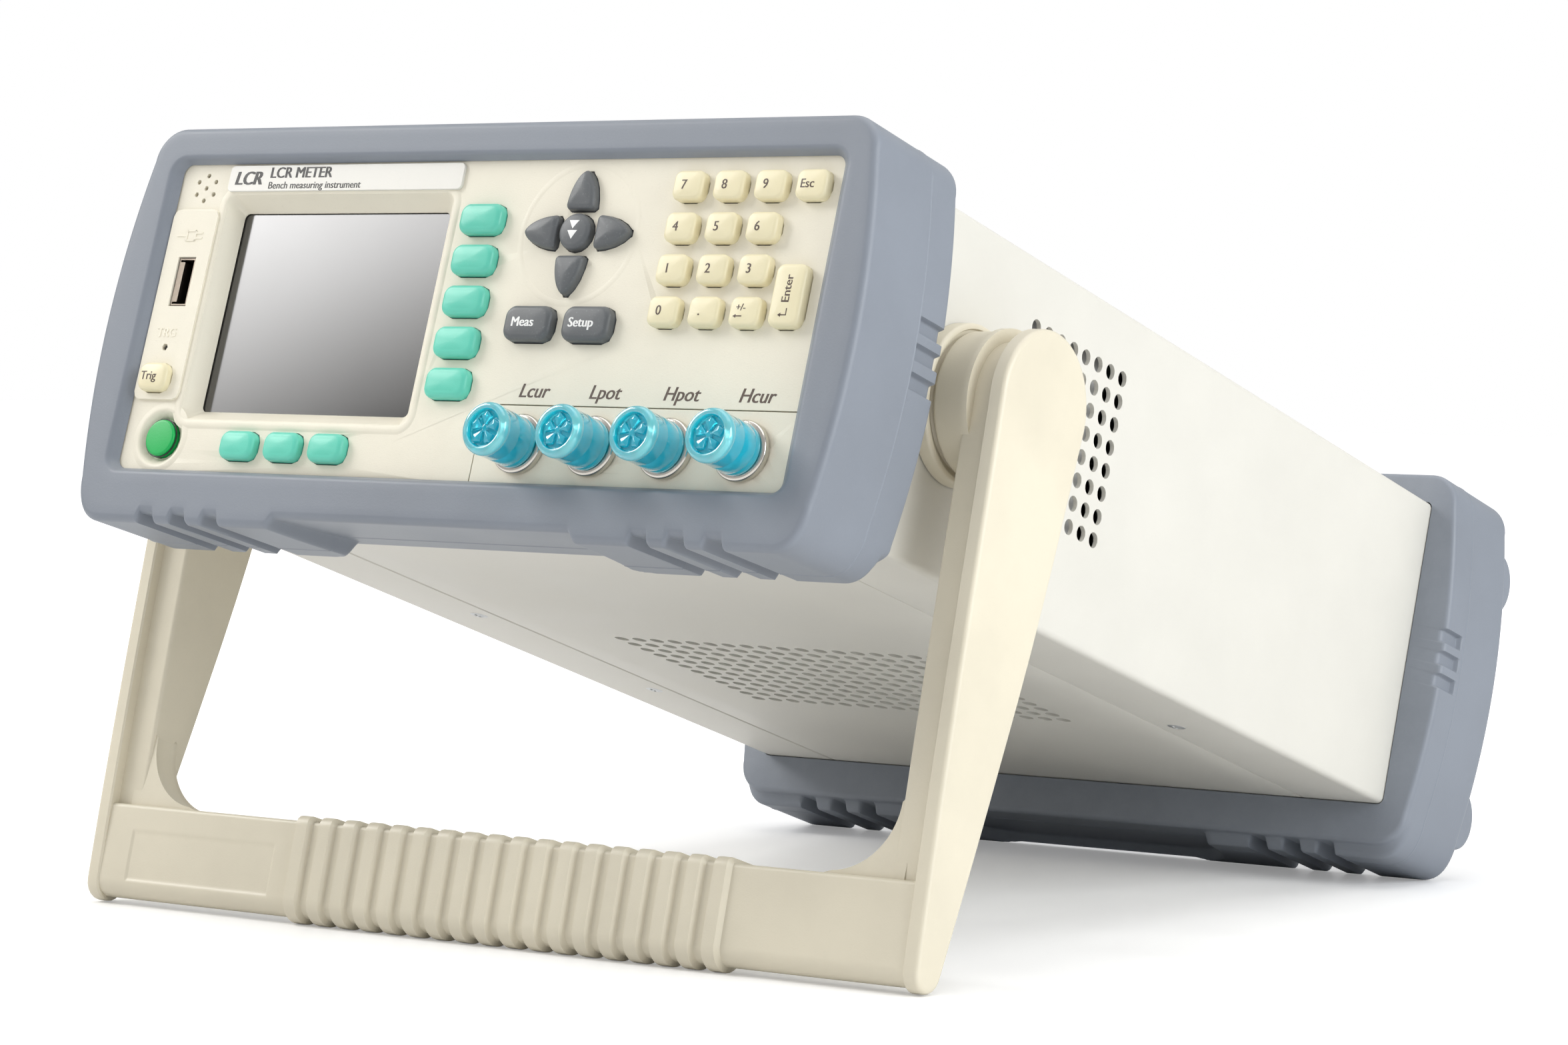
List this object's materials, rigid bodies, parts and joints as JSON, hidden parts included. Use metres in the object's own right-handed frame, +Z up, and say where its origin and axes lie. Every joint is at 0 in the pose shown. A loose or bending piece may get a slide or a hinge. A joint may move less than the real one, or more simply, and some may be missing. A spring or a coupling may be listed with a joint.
{
  "type": "lcr meter",
  "caption": "Half-rack bench LCR meter with corner bumpers, a keypad beside a display, capped coaxial test terminals and a swing handle that tilts it back.",
  "frame": {"origin": "centre of the bounding box at bench level, with the meter tilted back on its handle", "axes": "+Y from the front panel towards the rear, +Z up from the bench, +X to the right for a user facing the panel"},
  "size_m": [0.266, 0.364, 0.206],
  "materials": {
    "bumper_rubber": "satin",
    "case_paint": "satin",
    "panel_plastic": "fine texture",
    "label_plastic": "satin",
    "lens_plastic": "clear",
    "black_plastic": "satin",
    "handle_plastic": "satin",
    "circuit_board": "satin",
    "supply_block": "plain",
    "plated_steel": "satin",
    "terminal_metal": "nickel plated",
    "cap_plastic": "translucent",
    "key_turquoise": "satin",
    "key_grey": "satin",
    "key_cream": "satin",
    "key_green": "satin"
  },
  "bodies": {
    "case": {"front_bumper": "bumper_rubber", "rear_bumper": "bumper_rubber", "top_cover": "case_paint", "bottom_cover": "case_paint", "rear_panel": "case_paint", "front_panel": "panel_plastic", "terminal_plate": "panel_plastic", "name_plate": "label_plastic", "lcd_lens": "lens_plastic", "lcd_module": "black_plastic", "handle_hub_left": "handle_plastic", "handle_hub_right": "handle_plastic", "keypad_board": "circuit_board", "main_board": "circuit_board", "power_supply": "supply_block", "mains_inlet": "black_plastic", "serial_port": "plated_steel", "usb_port": "plated_steel", "speaker": "black_plastic", "bnc_socket_1": "terminal_metal", "bnc_socket_2": "terminal_metal", "bnc_socket_3": "terminal_metal", "bnc_socket_4": "terminal_metal"},
    "handle": {"handle": "handle_plastic"},
    "softkey_right_1": {"softkey_right_1": "key_turquoise"},
    "softkey_right_2": {"softkey_right_2": "key_turquoise"},
    "softkey_right_3": {"softkey_right_3": "key_turquoise"},
    "softkey_right_4": {"softkey_right_4": "key_turquoise"},
    "softkey_right_5": {"softkey_right_5": "key_turquoise"},
    "softkey_bottom_1": {"softkey_bottom_1": "key_turquoise"},
    "softkey_bottom_2": {"softkey_bottom_2": "key_turquoise"},
    "softkey_bottom_3": {"softkey_bottom_3": "key_turquoise"},
    "nav_up": {"nav_up": "key_grey"},
    "nav_down": {"nav_down": "key_grey"},
    "nav_left": {"nav_left": "key_grey"},
    "nav_right": {"nav_right": "key_grey"},
    "nav_centre": {"nav_centre": "key_grey"},
    "key_meas": {"key_meas": "key_grey"},
    "key_setup": {"key_setup": "key_grey"},
    "key_0": {"key_0": "key_cream"},
    "key_1": {"key_1": "key_cream"},
    "key_2": {"key_2": "key_cream"},
    "key_3": {"key_3": "key_cream"},
    "key_4": {"key_4": "key_cream"},
    "key_5": {"key_5": "key_cream"},
    "key_6": {"key_6": "key_cream"},
    "key_7": {"key_7": "key_cream"},
    "key_8": {"key_8": "key_cream"},
    "key_9": {"key_9": "key_cream"},
    "key_point": {"key_point": "key_cream"},
    "key_sign": {"key_sign": "key_cream"},
    "key_esc": {"key_esc": "key_cream"},
    "key_enter": {"key_enter": "key_cream"},
    "key_trig": {"key_trig": "key_cream"},
    "power_button": {"power_button": "key_green"},
    "terminal_cap_1": {"terminal_cap_1": "cap_plastic"},
    "terminal_cap_2": {"terminal_cap_2": "cap_plastic"},
    "terminal_cap_3": {"terminal_cap_3": "cap_plastic"},
    "terminal_cap_4": {"terminal_cap_4": "cap_plastic"}
  },
  "joints": [
    {"name": "handle_swing", "type": "hinge", "parent": "case", "child": "handle", "pos_m": [0, -0.09981, 0.13586], "axis": [1, 0, 0], "range_deg": [-240, 67]},
    {"name": "softkey_right_1_press", "type": "slide", "parent": "case", "child": "softkey_right_1", "axis": [0, 0.9552, -0.296], "range_m": [0, 0.0012], "stiffness_N_per_m": 150, "springref_m": -0.002},
    {"name": "softkey_right_2_press", "type": "slide", "parent": "case", "child": "softkey_right_2", "axis": [0, 0.9552, -0.296], "range_m": [0, 0.0012], "stiffness_N_per_m": 150, "springref_m": -0.002},
    {"name": "softkey_right_3_press", "type": "slide", "parent": "case", "child": "softkey_right_3", "axis": [0, 0.9552, -0.296], "range_m": [0, 0.0012], "stiffness_N_per_m": 150, "springref_m": -0.002},
    {"name": "softkey_right_4_press", "type": "slide", "parent": "case", "child": "softkey_right_4", "axis": [0, 0.9552, -0.296], "range_m": [0, 0.0012], "stiffness_N_per_m": 150, "springref_m": -0.002},
    {"name": "softkey_right_5_press", "type": "slide", "parent": "case", "child": "softkey_right_5", "axis": [0, 0.9552, -0.296], "range_m": [0, 0.0012], "stiffness_N_per_m": 150, "springref_m": -0.002},
    {"name": "softkey_bottom_1_press", "type": "slide", "parent": "case", "child": "softkey_bottom_1", "axis": [0, 0.9552, -0.296], "range_m": [0, 0.0012], "stiffness_N_per_m": 150, "springref_m": -0.002},
    {"name": "softkey_bottom_2_press", "type": "slide", "parent": "case", "child": "softkey_bottom_2", "axis": [0, 0.9552, -0.296], "range_m": [0, 0.0012], "stiffness_N_per_m": 150, "springref_m": -0.002},
    {"name": "softkey_bottom_3_press", "type": "slide", "parent": "case", "child": "softkey_bottom_3", "axis": [0, 0.9552, -0.296], "range_m": [0, 0.0012], "stiffness_N_per_m": 150, "springref_m": -0.002},
    {"name": "nav_up_press", "type": "slide", "parent": "case", "child": "nav_up", "axis": [0, 0.9552, -0.296], "range_m": [0, 0.0012], "stiffness_N_per_m": 150, "springref_m": -0.002},
    {"name": "nav_down_press", "type": "slide", "parent": "case", "child": "nav_down", "axis": [0, 0.9552, -0.296], "range_m": [0, 0.0012], "stiffness_N_per_m": 150, "springref_m": -0.002},
    {"name": "nav_left_press", "type": "slide", "parent": "case", "child": "nav_left", "axis": [0, 0.9552, -0.296], "range_m": [0, 0.0012], "stiffness_N_per_m": 150, "springref_m": -0.002},
    {"name": "nav_right_press", "type": "slide", "parent": "case", "child": "nav_right", "axis": [0, 0.9552, -0.296], "range_m": [0, 0.0012], "stiffness_N_per_m": 150, "springref_m": -0.002},
    {"name": "nav_centre_press", "type": "slide", "parent": "case", "child": "nav_centre", "axis": [0, 0.9552, -0.296], "range_m": [0, 0.0012], "stiffness_N_per_m": 150, "springref_m": -0.002},
    {"name": "key_meas_press", "type": "slide", "parent": "case", "child": "key_meas", "axis": [0, 0.9552, -0.296], "range_m": [0, 0.0012], "stiffness_N_per_m": 150, "springref_m": -0.002},
    {"name": "key_setup_press", "type": "slide", "parent": "case", "child": "key_setup", "axis": [0, 0.9552, -0.296], "range_m": [0, 0.0012], "stiffness_N_per_m": 150, "springref_m": -0.002},
    {"name": "key_0_press", "type": "slide", "parent": "case", "child": "key_0", "axis": [0, 0.9552, -0.296], "range_m": [0, 0.0012], "stiffness_N_per_m": 150, "springref_m": -0.002},
    {"name": "key_1_press", "type": "slide", "parent": "case", "child": "key_1", "axis": [0, 0.9552, -0.296], "range_m": [0, 0.0012], "stiffness_N_per_m": 150, "springref_m": -0.002},
    {"name": "key_2_press", "type": "slide", "parent": "case", "child": "key_2", "axis": [0, 0.9552, -0.296], "range_m": [0, 0.0012], "stiffness_N_per_m": 150, "springref_m": -0.002},
    {"name": "key_3_press", "type": "slide", "parent": "case", "child": "key_3", "axis": [0, 0.9552, -0.296], "range_m": [0, 0.0012], "stiffness_N_per_m": 150, "springref_m": -0.002},
    {"name": "key_4_press", "type": "slide", "parent": "case", "child": "key_4", "axis": [0, 0.9552, -0.296], "range_m": [0, 0.0012], "stiffness_N_per_m": 150, "springref_m": -0.002},
    {"name": "key_5_press", "type": "slide", "parent": "case", "child": "key_5", "axis": [0, 0.9552, -0.296], "range_m": [0, 0.0012], "stiffness_N_per_m": 150, "springref_m": -0.002},
    {"name": "key_6_press", "type": "slide", "parent": "case", "child": "key_6", "axis": [0, 0.9552, -0.296], "range_m": [0, 0.0012], "stiffness_N_per_m": 150, "springref_m": -0.002},
    {"name": "key_7_press", "type": "slide", "parent": "case", "child": "key_7", "axis": [0, 0.9552, -0.296], "range_m": [0, 0.0012], "stiffness_N_per_m": 150, "springref_m": -0.002},
    {"name": "key_8_press", "type": "slide", "parent": "case", "child": "key_8", "axis": [0, 0.9552, -0.296], "range_m": [0, 0.0012], "stiffness_N_per_m": 150, "springref_m": -0.002},
    {"name": "key_9_press", "type": "slide", "parent": "case", "child": "key_9", "axis": [0, 0.9552, -0.296], "range_m": [0, 0.0012], "stiffness_N_per_m": 150, "springref_m": -0.002},
    {"name": "key_point_press", "type": "slide", "parent": "case", "child": "key_point", "axis": [0, 0.9552, -0.296], "range_m": [0, 0.0012], "stiffness_N_per_m": 150, "springref_m": -0.002},
    {"name": "key_sign_press", "type": "slide", "parent": "case", "child": "key_sign", "axis": [0, 0.9552, -0.296], "range_m": [0, 0.0012], "stiffness_N_per_m": 150, "springref_m": -0.002},
    {"name": "key_esc_press", "type": "slide", "parent": "case", "child": "key_esc", "axis": [0, 0.9552, -0.296], "range_m": [0, 0.0012], "stiffness_N_per_m": 150, "springref_m": -0.002},
    {"name": "key_enter_press", "type": "slide", "parent": "case", "child": "key_enter", "axis": [0, 0.9552, -0.296], "range_m": [0, 0.0012], "stiffness_N_per_m": 150, "springref_m": -0.002},
    {"name": "key_trig_press", "type": "slide", "parent": "case", "child": "key_trig", "axis": [0, 0.9552, -0.296], "range_m": [0, 0.0012], "stiffness_N_per_m": 150, "springref_m": -0.002},
    {"name": "power_button_press", "type": "slide", "parent": "case", "child": "power_button", "axis": [0, 0.9552, -0.296], "range_m": [0, 0.0012], "stiffness_N_per_m": 150, "springref_m": -0.002},
    {"name": "terminal_cap_1_pull", "type": "slide", "parent": "case", "child": "terminal_cap_1", "axis": [0, -0.9552, 0.296], "range_m": [0, 0.016]},
    {"name": "terminal_cap_2_pull", "type": "slide", "parent": "case", "child": "terminal_cap_2", "axis": [0, -0.9552, 0.296], "range_m": [0, 0.016]},
    {"name": "terminal_cap_3_pull", "type": "slide", "parent": "case", "child": "terminal_cap_3", "axis": [0, -0.9552, 0.296], "range_m": [0, 0.016]},
    {"name": "terminal_cap_4_pull", "type": "slide", "parent": "case", "child": "terminal_cap_4", "axis": [0, -0.9552, 0.296], "range_m": [0, 0.016]}
  ]
}
